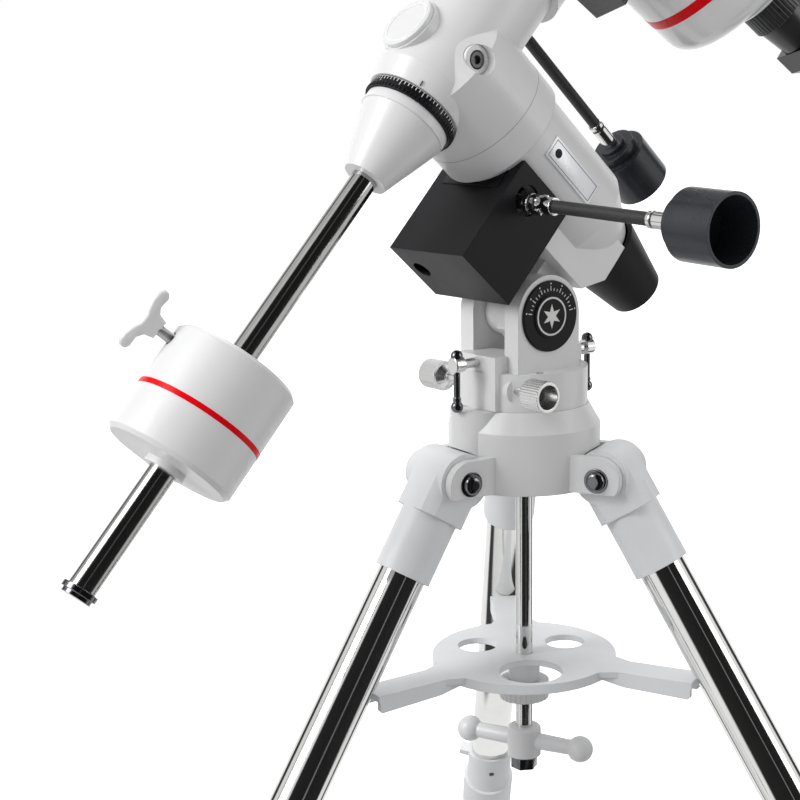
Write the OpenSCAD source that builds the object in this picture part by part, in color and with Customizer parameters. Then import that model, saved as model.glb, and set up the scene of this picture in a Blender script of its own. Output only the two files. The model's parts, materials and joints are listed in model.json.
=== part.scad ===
// Maksutov telescope on a German equatorial mount and a three-leg steel tripod.
// +Z is up, the ground is z = 0, and the azimuth axis stands on the origin.
// The sky end of the polar axis points to -Y, and the latitude pivot lies along X.

/* [Tripod] */
// Height of the leg hinges above the ground
hinge_h = 755; // [600:5:950]
// Distance of the leg hinges from the azimuth axis
hinge_r = 74.5; // [70:0.5:90]
// Angle of each leg from vertical
leg_splay = 31.3; // [20:0.1:35]
// Angle by which the legs are turned clockwise from the mount's north
tripod_turn = 4.7; // [0:0.1:10]
// Outer diameter of the upper leg tube
leg_d = 38.1; // [30:0.1:46]
// Outer diameter of the lower leg tube
lower_d = 31.8; // [25:0.1:35]
// Wall of both leg tubes
leg_wall = 1.5; // [1:0.1:2.5]
// Distance along the leg from the hinge to the bracket's open end
bracket_len = 84; // [70:1:110]
// Distance along the leg from the hinge to the top of the clamp
clamp_at = 430; // [380:5:480]
// Length of the leg clamp
clamp_len = 96; // [80:1:120]
// Radius of the rubber foot
foot_r = 22; // [18:1:30]
// Radius of the hub
hub_r = 61.5; // [55:0.5:70]

/* [Spreader tray] */
// Depth of the tray's top below the hinges
tray_drop = 160; // [140:1:200]
// Radius of the tray's disc
tray_r = 76; // [70:1:85]
// Thickness of the tray's plate
tray_t = 5; // [4:0.5:8]
// Diameter of the centre rod
rod_d = 14; // [10:0.5:16]
// Diameter of the large eyepiece hole
hole_big_d = 51; // [45:0.5:56]
// Diameter of the small eyepiece holes
hole_small_d = 33; // [28:0.5:38]

/* [Mount] */
// Latitude that the polar axis is set to
latitude = 42; // [36:1:48]
// Height of the latitude pivot above the hub's top
pivot_up = 73; // [68:1:84]
// Distance of the latitude pivot north of the azimuth axis
pivot_north = 5; // [0:0.5:8]
// Distance of the polar axis from the latitude pivot
ra_off = 92; // [86:1:104]
// Distance of the two axes' crossing from the pivot, along the polar axis
cross_along = 184; // [176:1:200]
// Radius of the polar axis housing
ra_r = 47.5; // [44:0.5:52]
// Radius of the declination housing
dec_r = 42; // [39:0.5:46]
// Outer distance of the fork's cheeks from the middle
cheek_x = 35; // [33:0.5:42]
// Radius of the azimuth base
base_r = 51; // [48:0.5:56]
// Radius of the hand knobs on the slow-motion shafts
control_knob_r = 25.5; // [20:0.5:30]
// Length of the hand knobs
control_knob_len = 52; // [40:1:70]
// Diameter of the slow-motion shafts
control_d = 10; // [8:0.5:12]

/* [Counterweight] */
// Diameter of the counterweight shaft
shaft_d = 20; // [16:0.5:24]
// Distance from the crossing to the shaft's end
shaft_end = 458; // [400:1:500]
// Diameter of the counterweight
weight_d = 96; // [85:1:115]
// Length of the counterweight
weight_len = 85; // [60:1:95]
// Distance from the crossing to the counterweight's upper face
weight_at = 275; // [230:1:300]

/* [Telescope] */
// Outer diameter of the telescope tube
tube_d = 150; // [136:1:160]
// Wall of the telescope tube
tube_wall = 3; // [2:0.5:4]
// Angle by which the telescope is turned west of the pole on the declination axis
dec_turn = 17; // [0:1:40]
// Distance of the tube's axis from the crossing
tube_off = 242; // [232:1:260]
// Distance of the tube's rear end behind the crossing
tube_back = 116; // [100:1:140]
// Distance of the tube's front end ahead of the crossing
tube_front = 190; // [150:1:220]
// Clear aperture of the corrector
aperture = 127; // [110:1:134]
// Outer diameter of the eyepiece barrels
barrel_d = 31.7; // [31.5:0.1:32]

/* [Hidden] */
$fn = 64;
running = 0.05; // radial clearance of a shaft in its bore
gap = 0.4; // clearance between faces that move past each other
big = 2000; // longer than anything cut with it
leg_turn = [-90 - tripod_turn, 30 - tripod_turn, 150 - tripod_turn];

// Tripod hub
hub_bottom = hinge_h - 12;
hub_shoulder = hinge_h + 36;
hub_top = hinge_h + 52;
hub_wall = 8;
ear_in = 24.4; // inner face of each hinge ear
ear_t = 8;
ear_r = 18;
ear_out = 1; // the ear's round end stands this far outside the hinge
hinge_pin_d = 10;
bolt_head_r = 8;

// Legs, measured along the leg from the hinge
bracket_wall = 3.6;
bracket_r = leg_d / 2 + bracket_wall;
tongue_x = ear_in - gap;
tongue_r = 22;
slot_r = tongue_r + 1;
tube_start = 34;
clamp_r = leg_d / 2 + 3.2;
flange_r = leg_d / 2 + 6.5;
tube_end = clamp_at + clamp_len - 28;
lower_start = clamp_at - 60;
foot_at = (hinge_h - foot_r + 1.5) / cos(leg_splay);
lock_at = clamp_at + clamp_len - 18;
lock_d = 8;

// Tray and rod
tray_z = hinge_h - tray_drop;
tray_boss_h = 18;
leg_inner_r = hinge_r + tray_drop * tan(leg_splay) - leg_d / 2 / cos(leg_splay);
arm_tip = leg_inner_r - gap;
hole_small_r = (tray_r + rod_d / 2) / 2 + 1;
hole_big_r = tray_r - hole_big_d / 2 - 5;
tray_knob_r = 20.5;
tray_knob_h = 15;
tray_knob_z = tray_z - tray_t - tray_boss_h - tray_knob_h;
handle_z = hinge_h - 236;
rod_end = hinge_h - 262;
handle_turn = 23;

// Mount
pivot_z = hub_top + pivot_up;
base_h = 30;
base_top = hub_top + base_h;
cheek_t = 16;
cheek_in = cheek_x - cheek_t;
cheek_r = 32;
pin_d = 14;
block_x = 23;
block_y = 50;
block_top = hub_top + 43;
knob_y = 35;
knob_z = hub_top + 16.5;
knob_out_east = 47.5;
knob_out_west = 58;
peg_r = 5; // peg on the hub that the azimuth knobs push
peg_slot = 11; // half width of the slot round the peg
lat_z = hub_top + 37;
lat_head = 65; // distance of the bolts' heads from the azimuth axis
lat_bolt_d = 8;
barrel_r = 20;
seam = -73; // seam between the polar housing and the head, along the polar axis
housing_end = -215;
web_x = 33;
box_x = 44.5;
box_z = [-138, -78];
box_y = [-115, -24];
worm_y = -45;
worm_z = -100;
dec_low = -42;
head_r = ra_r + 4.5;
dec_high = 88;
wheel_r = 48;
wheel_top = 118;
wheel_bore = 47;
dec_worm_x = -54;
dec_worm_y = 105;
worm_r = 8;
polar_shaft_len = 204;
dec_shaft_len = 212;
polar_shaft_tilt = 2.4; // droop of the shaft at its joint
polar_shaft_r = 17;
cap_z = 42;
cap_r = 22;
wing_turn = 104;
nose_len = 58;
circle_h = 9;
circle_r = 36;

// Saddle and telescope
saddle_y = [wheel_top + 1, wheel_top + 22];
bar_y = [saddle_y[1] - 8, saddle_y[1] + 8];
bar_back = -86;
bar_front = 112;
foot_mid = (bar_front + bar_back) / 2;
tube_r = tube_d / 2;
foot_y = bar_y[1];
cell_r = tube_r + 5;
rear_edge = -tube_back - 40;
back_z = -tube_back - 72;
back_r = 25;
diagonal_z = back_z - 50;
finder_turn = 35;
finder_z = -tube_back + 60;

// Places

module leg_place(k) {
    rotate([0, 0, leg_turn[k]]) translate([hinge_r, 0, hinge_h]) rotate([0, -leg_splay, 0])
        children();
}

// x east, y away from the pivot, z along the polar axis to the sky
module polar_place() {
    translate([0, -pivot_north, pivot_z]) rotate([90 - latitude, 0, 0]) children();
}

// The same axes, from the point where the two axes cross
module head_place() {
    polar_place() translate([0, ra_off, cross_along]) children();
}

// z along the declination axis to the telescope
module dec_place() {
    head_place() rotate([-90, 0, 0]) children();
}

// z along the declination axis to the counterweight
module weight_place() {
    head_place() rotate([90, 0, 0]) children();
}

module scope_place() {
    head_place() rotate([0, -dec_turn, 0]) children();
}

module tube_place() {
    scope_place() translate([0, tube_off, 0]) children();
}

// Shapes

module ring(r_out, r_in, z0, z1) {
    translate([0, 0, z0]) difference() {
        cylinder(r = r_out, h = z1 - z0);
        translate([0, 0, -1]) cylinder(r = r_in, h = z1 - z0 + 2);
    }
}

module rod(r, z0, z1) {
    translate([0, 0, z0]) cylinder(r = r, h = z1 - z0);
}

module along_x() {
    rotate([0, 90, 0]) children();
}

// A disc with a quarter-round edge of radius e at its top
module soft_disc(r, h, e) {
    rotate_extrude() union() {
        square([r - e, h]);
        square([r, h - e]);
        translate([r - e, h - e]) intersection() {
            circle(r = e, $fn = 32);
            square(e);
        }
    }
}

// A grip: a drum with flutes cut along it
module fluted(r, h, flutes, depth) {
    difference() {
        cylinder(r = r, h = h);
        for (i = [0:flutes - 1]) rotate([0, 0, i * 360 / flutes]) translate([r + depth / 2, 0, -1])
            cylinder(r = depth, h = h + 2, $fn = 16);
    }
}

module box_between(a, b) {
    translate(a) cube(b - a);
}

// Tripod

module hub_ear(k, side) {
    rotate([0, 0, leg_turn[k]]) translate([0, side > 0 ? ear_in : -ear_in - ear_t, 0]) difference() {
        union() {
            box_between([hub_r / 2, 0, hub_bottom + 1], [hinge_r + ear_out, ear_t, hinge_h + ear_r]);
            translate([hinge_r + ear_out, 0, hinge_h]) rotate([-90, 0, 0]) cylinder(r = ear_r, h = ear_t);
        }
        box_between([0, -1, hinge_h - 40], [big, ear_t + 1, hub_bottom + 1]);
    }
}

module tripod_hub() {
    color("gainsboro") difference() {
        union() {
            rod(hub_r, hub_bottom, hub_shoulder);
            translate([0, 0, hub_shoulder]) cylinder(r1 = hub_r, r2 = base_r + 1, h = hub_top - hub_shoulder);
            for (k = [0:2], side = [-1, 1]) hub_ear(k, side);
            rotate([0, 0, leg_turn[0]]) translate([42, 0, hub_bottom + 20]) cylinder(r = 25, h = hub_top - hub_bottom - 20);
            translate([0, -knob_y, 0]) rod(peg_r, hub_top - 1, knob_z + 4);
        }
        rod(hub_r - hub_wall, hub_bottom - 1, hub_shoulder - 8);
        rod(rod_d / 2 + running, 0, big);
        for (k = [0:2]) rotate([0, 0, leg_turn[k]]) {
            box_between([hinge_r, -ear_in, hub_bottom - 1], [big, ear_in, hinge_h + slot_r]);
            box_between([hinge_r - slot_r, -ear_in, hub_bottom - 1], [big, ear_in, hinge_h]);
            translate([hinge_r, 0, hinge_h]) rotate([90, 0, 0]) cylinder(r = slot_r, h = 2 * ear_in, center = true);
            translate([hinge_r, 0, hinge_h]) rotate([90, 0, 0]) cylinder(d = hinge_pin_d, h = 120, center = true);
        }
    }
}

module hinge_bolts() {
    color("silver") for (k = [0:2]) rotate([0, 0, leg_turn[k]]) translate([hinge_r, 0, hinge_h]) rotate([-90, 0, 0]) {
        rod(hinge_pin_d / 2, -ear_in - ear_t, ear_in + ear_t);
        for (side = [0, 180]) rotate([side, 0, 0]) translate([0, 0, ear_in + ear_t]) soft_disc(bolt_head_r, 6, 4.5);
    }
}

module leg_bracket(k) {
    color("gainsboro") leg_place(k) difference() {
        union() {
            rod(bracket_r, -bracket_len, -18);
            rotate([90, 0, 0]) cylinder(r = tongue_r, h = 2 * tongue_x, center = true);
            intersection() {
                box_between([-tongue_r, -tongue_x, -34], [tongue_r, tongue_x, 0]);
                rod(bracket_r + 4.5, -40, 10);
            }
        }
        rod(leg_d / 2, -big, -tube_start);
        rotate([90, 0, 0]) cylinder(d = hinge_pin_d + 2 * running, h = 120, center = true);
    }
}

module leg_tube(k) {
    color("silver") leg_place(k) ring(leg_d / 2, leg_d / 2 - leg_wall, -tube_end, -tube_start);
}

module leg_clamp(k) {
    color("gainsboro") leg_place(k) difference() {
        union() {
            rod(clamp_r, -clamp_at - clamp_len, -clamp_at);
            rod(flange_r, -clamp_at - clamp_len, -clamp_at - clamp_len + 42);
            translate([flange_r - 6, 0, -lock_at]) along_x() cylinder(r = 10, h = 14);
        }
        rod(leg_d / 2, -tube_end, -clamp_at + 1);
        rod(lower_d / 2 + running, -big, 0);
        translate([0, 0, -lock_at]) along_x() cylinder(d = lock_d + 2 * running, h = 60);
        translate([0, 0, -clamp_at + 22]) rotate([90, 0, 0]) cylinder(r = 30, h = 100, center = true);
    }
}

module leg_lock(k) {
    color("gainsboro") leg_place(k) translate([0, 0, -lock_at]) along_x() {
        rod(lock_d / 2, lower_d / 2 + 0.4, flange_r + 22);
        translate([0, 0, flange_r + 12]) cylinder(r = 9, h = 14);
        translate([0, 0, flange_r + 20]) for (side = [-1, 1]) translate([0, side * 15, 4]) rotate([side * 20, 0, 0])
            cube([7, 20, 12], center = true);
    }
}

module lower_leg(k) {
    color("silver") leg_place(k) ring(lower_d / 2, lower_d / 2 - leg_wall, -foot_at + 6, -lower_start);
}

module rubber_foot(k) {
    color("dimgray") intersection() {
        leg_place(k) difference() {
            union() {
                translate([0, 0, -foot_at]) sphere(r = foot_r);
                rod(foot_r, -foot_at, -foot_at + 22);
                translate([0, 0, -foot_at + 22]) cylinder(r1 = foot_r, r2 = foot_r - 3.5, h = 22);
            }
            rod(lower_d / 2, -foot_at + 6, 0);
        }
        box_between([-big, -big, 0], [big, big, big]);
    }
}

// Spreader tray and centre rod

module tray_arm(k) {
    rotate([0, 0, leg_turn[k]]) {
        translate([0, 0, tray_z - tray_t]) linear_extrude(height = tray_t)
            polygon([[tray_r - 16, -26], [tray_r + 12, -14], [arm_tip, -14], [arm_tip, 14], [tray_r + 12, 14], [tray_r - 16, 26]]);
        for (side = [-1, 1]) translate([0, side * 12 + 2, tray_z]) rotate([90, 0, 0]) linear_extrude(height = 4)
            polygon([[tray_r - 14, -1], [tray_r - 14, -6], [tray_r + 16, -12], [arm_tip - 3, -14],
                [arm_tip - 1, -12], [arm_tip - 1, -1]]);
    }
}

module tray_hole(angle, r, d) {
    rotate([0, 0, angle]) translate([r, 0, tray_z - 20]) cylinder(d = d, h = 40);
}

module spreader_tray() {
    opposite = leg_turn[0] + 60;
    color("gainsboro") difference() {
        union() {
            rod(tray_r, tray_z - tray_t, tray_z);
            ring(tray_r, tray_r - 3, tray_z - tray_t - 3, tray_z);
            rod(rod_d / 2 + 6, tray_z - tray_t - tray_boss_h, tray_z);
            for (k = [0:2]) tray_arm(k);
        }
        rod(rod_d / 2 + running, 0, big);
        tray_hole(opposite, hole_big_r, hole_big_d);
        for (side = [120, 240]) tray_hole(opposite + side, hole_small_r, hole_small_d);
    }
}

module tray_knob() {
    color("gainsboro") translate([0, 0, tray_knob_z]) difference() {
        fluted(tray_knob_r, tray_knob_h - 0.2, 30, 1.3);
        rod(rod_d / 2 + running, -1, tray_knob_h + 1);
    }
}

module centre_rod() {
    color("silver") union() {
        rod(rod_d / 2, rod_end + 6, hub_top + 12);
        translate([0, 0, handle_z - 24]) cylinder(r = 11, h = 11, $fn = 6);
        rod(rod_d / 2 - 2, rod_end, rod_end + 8);
    }
}

module rod_handle() {
    color("gainsboro") translate([0, 0, handle_z]) difference() {
        union() {
            translate([0, 0, -12.8]) soft_disc(14, 25, 3);
            rotate([0, 0, handle_turn]) for (side = [0, 180]) rotate([0, 0, side]) {
                along_x() translate([0, 0, 8]) cylinder(r1 = 7, r2 = 6.2, h = 40);
                translate([51, 0, 0]) sphere(r = 10.8);
            }
        }
        rod(rod_d / 2, -20, 20);
    }
}

// Azimuth base and latitude fork

module cheek(side) {
    x = side > 0 ? cheek_in : -cheek_x;
    translate([x, -pivot_north, pivot_z]) along_x() cylinder(r = cheek_r, h = cheek_t);
    box_between([x, -cheek_r - pivot_north, base_top - 1], [x + cheek_t, cheek_r - pivot_north, pivot_z]);
}

module azimuth_base() {
    color("gainsboro") difference() {
        union() {
            rod(base_r, hub_top, base_top);
            for (side = [-1, 1]) cheek(side);
            box_between([-block_x, -block_y, hub_top + gap], [block_x, -18, block_top]);
            box_between([-14, 18, hub_top], [14, block_y, block_top]);
            for (side = [-1, 1]) translate([side * (block_x + 4), -knob_y, knob_z]) along_x()
                cylinder(r = 10, h = 8, center = true);
        }
        translate([0, -pivot_north, pivot_z]) along_x() cylinder(d = pin_d, h = 100, center = true);
        rod(rod_d / 2 + 1, hub_top - 1, hub_top + 13);
        translate([0, 0, lat_z]) rotate([90, 0, 0]) cylinder(d = lat_bolt_d + 2 * running, h = 150, center = true);
        translate([0, -knob_y, knob_z]) along_x() cylinder(d = 8 + 2 * running, h = 90, center = true);
        box_between([-peg_slot, -knob_y - 8, hub_top - 1], [peg_slot, -knob_y + 8, knob_z + 6]);
    }
}

module latitude_pin() {
    color("dimgray") translate([0, -pivot_north, pivot_z]) {
        along_x() cylinder(d = pin_d, h = 2 * cheek_x + 1, center = true);
        for (side = [0, 180]) rotate([0, 0, side]) translate([cheek_x, 0, 0]) along_x() {
            soft_disc(28, 2, 0.8);
            rod(17, 1, 3.2);
        }
    }
}

module azimuth_knob(side, out) {
    color("whitesmoke") translate([0, -knob_y, knob_z]) rotate([0, side * 90, 0]) {
        rod(4, peg_slot + 1, out + 2);
        translate([0, 0, out]) difference() {
            fluted(12.2, 20, 36, 0.8);
            rod(9.5, 6, 21);
        }
        translate([0, 0, out - 6]) cylinder(r1 = 5, r2 = 10, h = 6);
    }
}

module latitude_bolt(side) {
    color("silver") translate([0, 0, lat_z]) rotate([side * 90, 0, 0]) {
        rod(lat_bolt_d / 2, 15, lat_head + 2);
        translate([0, 0, lat_head]) soft_disc(6.5, 9, 1);
        translate([0, bar_shift(side), lat_head + 4.5]) rotate([90, 0, 0]) {
            cylinder(d = 4, h = 40, center = true);
            for (end = [-1, 1]) translate([0, 0, end * 20]) sphere(r = 3.8);
        }
    }
}

// The bars hang down in their bolts
function bar_shift(side) = side * -13;

// Polar housing

module polar_housing() {
    color("gainsboro") difference() {
        union() {
            head_place() {
                rod(ra_r, -172, seam - gap);
                translate([0, 0, housing_end]) cylinder(r1 = 28, r2 = ra_r, h = 43.1);
                translate([web_x, 0, 0]) rotate([0, -90, 0]) linear_extrude(height = 2 * web_x)
                    polygon([[housing_end, 0], [housing_end, -33], [housing_end + 16, -54], [box_z[0] - gap, -54],
                        [box_z[0] - gap, -50], [box_z[1], -50], [box_z[1], 0]]);
            }
            polar_place() along_x() cylinder(r = barrel_r, h = 2 * cheek_in - 2 * gap, center = true);
            polar_place() box_between([-cheek_in + gap, 0, -16], [cheek_in - gap, ra_off - 30, 20]);
            polar_place() box_between([-6, -22, -6], [6, 0, 6]);
        }
        polar_control_place() cylinder(r = worm_r + 1.5, h = 200, center = true);
        head_place() {
            rod(polar_shaft_r + running, -big, 0);
            rod(-worm_y - worm_r + 2, worm_z - 12, seam + 1);
            box_between([-box_x + 3, -120, box_z[0] + 3], [box_x - 3, -30, box_z[1] - 3]);
        }
        polar_place() along_x() cylinder(d = pin_d + 2 * running, h = 100, center = true);
    }
}

module drive_box() {
    color("dimgray") head_place() difference() {
        box_between([-box_x, box_y[0], box_z[0]], [box_x, box_y[1], box_z[1]]);
        box_between([-box_x + 3, box_y[0] + 3, box_z[0] + 3], [box_x - 3, 0, box_z[1] - 3]);
        rod(ra_r, -big, 0);
        box_between([-web_x, -50, -big], [web_x, 0, 0]);
        translate([0, worm_y, worm_z]) along_x() cylinder(r = 12, h = 200, center = true);
        translate([-29, -60, -104]) rotate([90, 0, 0]) cylinder(r = 8, h = 80);
    }
}

module polar_rear_cap() {
    color("dimgray") head_place() translate([0, 0, housing_end]) rotate([180, 0, 0]) difference() {
        cylinder(r1 = 34, r2 = 23.5, h = 61);
        translate([0, 0, -1]) cylinder(r1 = 30, r2 = 19, h = 57);
    }
}

module control_shaft(len) {
    rod(worm_r, -26, 26);
    rod(5, -34, 60);
    rod(7.5, 48, 62);
    translate([0, 0, 62]) sphere(r = 7);
    rod(control_d / 2, 64, len);
    rod(control_d / 2 + 1.2, 66, 78);
    rod(control_d / 2 + 1, len - 26, len);
}

module control_knob(at) {
    difference() {
        union() {
            translate([0, 0, at]) cylinder(r = 12, h = 4);
            translate([0, 0, at + 4]) cylinder(r = control_knob_r - 6, h = 10);
            translate([0, 0, at + 12]) cylinder(r = control_knob_r, h = control_knob_len - 12);
        }
        rod(control_knob_r - 2.5, at + 18, at + 80);
    }
}

module polar_control_place() {
    head_place() translate([0, worm_y, worm_z]) rotate([0, 0, -polar_shaft_tilt]) along_x() children();
}

module polar_control_shaft() {
    color("darkgray") polar_control_place() control_shaft(polar_shaft_len);
}

module polar_knob() {
    color("dimgray") polar_control_place() control_knob(polar_shaft_len);
}

// Head: turns on the polar axis

module head_casting() {
    color("gainsboro") difference() {
        union() {
            head_place() {
                rod(head_r, seam, 4);
                rod(cap_r + 1.5, 0, cap_z);
                translate([0, 0, 4]) cylinder(r1 = head_r, r2 = cap_r + 8, h = 24);
                box_between([dec_worm_x - 14, dec_worm_y - 13, -30], [0, dec_worm_y + 12, 30]);
            }
            dec_place() {
                rod(dec_r, dec_low + 16, dec_high + 1);
                translate([0, 0, dec_low]) cylinder(r1 = circle_r + 1.5, r2 = dec_r, h = 16.1);
                rod(wheel_r, dec_high, wheel_top);
            }
        }
        head_place() {
            rod(polar_shaft_r, seam - 1, -24);
            rod(12, -30, 30);
            rod(cap_r - 4, 30, big);
            translate([dec_worm_x, dec_worm_y, 0]) cylinder(r = worm_r + running, h = 200, center = true);
            translate([30, 0, 5]) along_x() cylinder(r = 11, h = 40);
        }
        dec_place() {
            rod(20 + running, -big, big);
            rod(wheel_bore, dec_high + 4, big);
            rod(circle_r + 1.2, -big, dec_low);
        }
    }
}

module polar_front_cap() {
    color("whitesmoke") head_place() translate([0, 0, cap_z]) {
        soft_disc(cap_r, 4, 1.5);
        rod(cap_r - 4.2, -8, 1);
    }
}

module polar_axle() {
    color("silver") head_place() difference() {
        union() {
            rod(polar_shaft_r, housing_end + 6, -24);
            rod(-worm_y - worm_r - 0.4, worm_z - 8, worm_z + 8);
        }
        rod(12, -big, big);
    }
}

module declination_circle() {
    color("dimgray") weight_place() ring(circle_r, 21, -dec_low + 0.3, -dec_low + 0.3 + circle_h);
}

module shaft_nose() {
    color("whitesmoke") weight_place() translate([0, 0, -dec_low]) difference() {
        union() {
            rod(20.8, 0, 12);
            translate([0, 0, circle_h + 0.6]) cylinder(r = circle_r - 2, h = 8);
            translate([0, 0, circle_h + 8.6]) cylinder(r1 = circle_r - 2.5, r2 = 17, h = nose_len - 8);
        }
        rod(shaft_d / 2, 10, 90);
    }
}

module counterweight_shaft() {
    color("silver") weight_place() rod(shaft_d / 2, -dec_low + 10, shaft_end);
}

module shaft_end_cap() {
    color("dimgray") weight_place() translate([0, 0, shaft_end]) {
        rod(13, 0, 4);
        rod(11, 4, 7);
    }
}

module counterweight() {
    color("gainsboro") weight_place() translate([0, 0, weight_at]) difference() {
        union() {
            rod(weight_d / 2, 3, weight_len - 3);
            cylinder(r1 = weight_d / 2 - 3, r2 = weight_d / 2, h = 3);
            translate([0, 0, weight_len - 3]) cylinder(r1 = weight_d / 2, r2 = weight_d / 2 - 3, h = 3);
            rod(shaft_d / 2 + 5, 0, weight_len + 5);
        }
        rod(shaft_d / 2 + running, -1, big);
        translate([0, 0, 14]) rotate([0, 0, wing_turn]) along_x() cylinder(d = 10 + 2 * running, h = 100);
    }
}

module wing_bolt() {
    color("gainsboro") weight_place() translate([0, 0, weight_at + 14]) rotate([0, 0, wing_turn]) along_x() {
        rod(5, shaft_d / 2 + 0.3, weight_d / 2 + 22);
        rod(8.5, weight_d / 2 + 18, weight_d / 2 + 28);
        for (turn = [0, 120, 240]) rotate([0, 0, turn]) {
            box_between([-4, 0, weight_d / 2 + 20], [4, 18, weight_d / 2 + 28]);
            translate([0, 19, weight_d / 2 + 20]) cylinder(r = 6.5, h = 8);
        }
    }
}

// Declination axis and saddle

module dec_control_place() {
    head_place() translate([dec_worm_x, dec_worm_y, 0]) rotate([180, 0, 0]) children();
}

module declination_control_shaft() {
    color("darkgray") dec_control_place() control_shaft(dec_shaft_len);
}

module declination_knob() {
    color("dimgray") dec_control_place() control_knob(dec_shaft_len);
}

module declination_axle() {
    color("silver") dec_place() {
        ring(20, 12, dec_low + 14, wheel_top - 3);
        ring(-dec_worm_x - worm_r - 0.4, 12, dec_high + 6, wheel_top - 3);
    }
}

module saddle() {
    color("dimgray") scope_place() difference() {
        union() {
            dec_place_local() soft_disc(44, 10, 2);
            box_between([-34, saddle_y[0] + 4, -52], [34, saddle_y[1], 52]);
            dec_place_local() rod(18, -4, 1);
        }
        dovetail_cut(0.2);
        translate([0, saddle_y[1] - 6, 30]) along_x() cylinder(d = 8 + 2 * running, h = 60);
    }
}

module dec_place_local() {
    translate([0, saddle_y[0], 0]) rotate([-90, 0, 0]) children();
}

// The bar's section: 45 mm wide at its foot, narrower above
module bar_section(extra) {
    polygon([[-22.5 - extra, bar_y[0] - extra], [22.5 + extra, bar_y[0] - extra],
        [18 + extra, bar_y[1] + extra], [-18 - extra, bar_y[1] + extra]]);
}

module dovetail_cut(extra) {
    translate([0, 0, -100]) linear_extrude(height = 200) bar_section(extra);
    box_between([-18, bar_y[0], -100], [18, bar_y[1] + 40, 100]);
}

module saddle_screw() {
    color("dimgray") scope_place() translate([0, saddle_y[1] - 6, 30]) along_x() {
        rod(4, 22.5, 54);
        translate([0, 0, 44]) fluted(13, 18, 10, 2.5);
    }
}

module dovetail_bar() {
    color("dimgray") scope_place() {
        translate([0, 0, bar_back]) linear_extrude(height = bar_front - bar_back) bar_section(0);
    }
}

// Telescope

module telescope_tube() {
    color("whitesmoke") tube_place() {
        ring(tube_r, tube_r - tube_wall, -tube_back, tube_front);
        for (end = [-1, 1]) difference() {
            box_between([-17, foot_y - tube_off, foot_mid + end * 74 - 14], [17, -tube_r + 6, foot_mid + end * 74 + 14]);
            rod(tube_r - 0.5, -big / 2, big / 2);
        }
    }
}

module front_cell() {
    color("whitesmoke") tube_place() {
        ring(cell_r, tube_r, tube_front - 24, tube_front);
        ring(cell_r, aperture / 2 + 2, tube_front, tube_front + 22);
        ring(aperture / 2 + 2, aperture / 2 - 2, tube_front, tube_front + 4);
    }
}

module corrector_lens() {
    color("lightsteelblue") tube_place() rod(aperture / 2 + 2, tube_front + 4, tube_front + 14);
}

module primary_mirror() {
    color("silver") tube_place() {
        ring(tube_r - tube_wall - 2, 19, -tube_back + 14, -tube_back + 30);
        ring(19, 17, -tube_back + 2, 40);
    }
}

module rear_cell() {
    color("whitesmoke") tube_place() difference() {
        rotate_extrude() polygon(concat([[0, -tube_back + 16], [cell_r, -tube_back + 16], [cell_r, rear_edge]],
            [for (a = [0:10:80]) [cell_r - 16 + 16 * cos(a), rear_edge - 16 * sin(a)]],
            [[back_r + 6, back_z + 2], [back_r + 4, back_z], [0, back_z]]));
        rod(tube_r, -tube_back, big);
        rod(tube_r - 6, rear_edge - 2, 0);
        rod(20, -big, 0);
        translate([0, 44, 0]) rod(4 + running, -big, 0);
    }
}

module visual_back() {
    color("dimgray") tube_place() difference() {
        union() {
            translate([0, 0, back_z - 22]) fluted(back_r, 22, 40, 1);
            translate([0, 0, back_z - 49.5]) cylinder(r1 = 20, r2 = 23, h = 28);
            rod(20, back_z - 1, back_z + 12);
        }
        rod(barrel_d / 2 + running, -big, 0);
    }
}

module star_diagonal() {
    color("dimgray") tube_place() difference() {
        union() {
            rod(barrel_d / 2, diagonal_z - 4, diagonal_z + 34);
            box_between([-20, -20, diagonal_z - 44], [20, 22, diagonal_z - 0.5]);
            translate([0, 20, diagonal_z - 22]) rotate([-90, 0, 0]) cylinder(r = 20, h = 30);
        }
        rod(13.5, diagonal_z - 22, diagonal_z + 40);
        translate([0, 0, diagonal_z - 22]) rotate([-90, 0, 0]) cylinder(r = 13.5, h = 30);
        translate([0, 26, diagonal_z - 22]) rotate([-90, 0, 0]) cylinder(d = barrel_d + 2 * running, h = 30);
        translate([0, -20, diagonal_z - 44]) rotate([45, 0, 0]) cube([50, 34, 34], center = true);
    }
}

module eyepiece() {
    color("dimgray") tube_place() translate([0, 28, diagonal_z - 22]) rotate([-90, 0, 0]) difference() {
        union() {
            rod(barrel_d / 2, 0, 24);
            rod(21, 24, 58);
            rod(18.5, 56, 66);
        }
        rod(11, -1, 20);
        translate([0, 0, 60]) cylinder(r1 = 10, r2 = 15, h = 8);
    }
}

module focus_knob() {
    color("dimgray") tube_place() translate([0, 44, back_z + 4]) rotate([180, 0, 0]) {
        rod(4, -28, 6);
        translate([0, 0, 4.4]) fluted(12.5, 26, 24, 1);
    }
}

// Red-dot finder on its foot, west of the tube
module finder() {
    color("dimgray") tube_place() rotate([0, 0, finder_turn]) {
        difference() {
            box_between([-13, tube_r - 3, finder_z - 34], [13, tube_r + 14, finder_z + 34]);
            rod(tube_r, -big, big);
        }
        box_between([-10, tube_r + 14, finder_z - 42], [10, tube_r + 24, finder_z + 38]);
        translate([0, tube_r + 42, finder_z + 22]) difference() {
            union() {
                rod(21, 0, 16);
                box_between([-9, -22, 0], [9, -16, 16]);
            }
            rod(17, 3, 17);
            rod(14, -1, 4);
        }
        box_between([-8, tube_r + 23, finder_z - 40], [8, tube_r + 32, finder_z - 12]);
    }
}

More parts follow.
